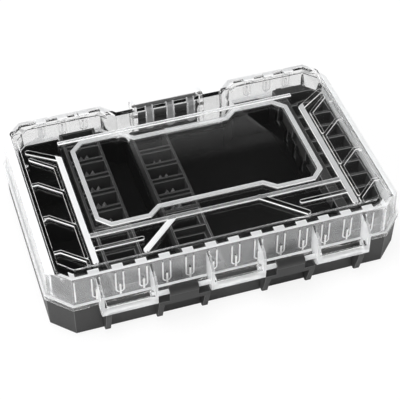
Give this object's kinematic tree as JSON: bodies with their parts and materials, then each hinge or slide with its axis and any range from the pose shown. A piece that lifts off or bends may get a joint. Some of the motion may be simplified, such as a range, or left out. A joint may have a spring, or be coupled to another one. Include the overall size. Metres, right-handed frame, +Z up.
{
  "type": "bit storage case",
  "caption": "Hinged storage case for screwdriver bits with a clear ribbed lid, a rear latch lever, upright bit racks, grooved bit rack, divided bin tray and open wells.",
  "frame": {"origin": "centre of the bottom of the box that bounds the shut case", "axes": "+X runs along the case to the grooved rack's end, +Y from the hinge to the latch, +Z up through the lid"},
  "size_m": [0.2018, 0.1396, 0.0435],
  "materials": {
    "base": "moulded charcoal polypropylene, fine matte texture",
    "tray": "moulded black polypropylene, matte",
    "rack": "moulded dark grey polypropylene, matte",
    "lid": "clear moulded polycarbonate, polished",
    "latch": "moulded black nylon, satin",
    "steel": "drawn steel wire"
  },
  "bodies": {
    "base": {"base_shell": "base", "bin_tray": "tray", "long_bin": "tray", "rack_left_rear": "rack", "rack_left_front": "rack", "rack_middle_rear": "rack", "rack_middle_front": "rack", "well_tray": "tray", "groove_rack": "rack"},
    "lid": {"lid_shell": "lid", "hinge_rod_left": "lid", "hinge_rod_right": "lid", "latch_pin": "steel"},
    "latch": {"latch_lever": "latch"}
  },
  "joints": [
    {"name": "lid_hinge", "type": "hinge", "parent": "base", "child": "lid", "pos_m": [0, -0.0665, 0.0243], "axis": [1, 0, 0], "range_deg": [0, 180]},
    {"name": "latch_hinge", "type": "hinge", "parent": "lid", "child": "latch", "pos_m": [0, 0.0643, 0.0368], "axis": [1, 0, 0], "range_deg": [0, 85]}
  ]
}
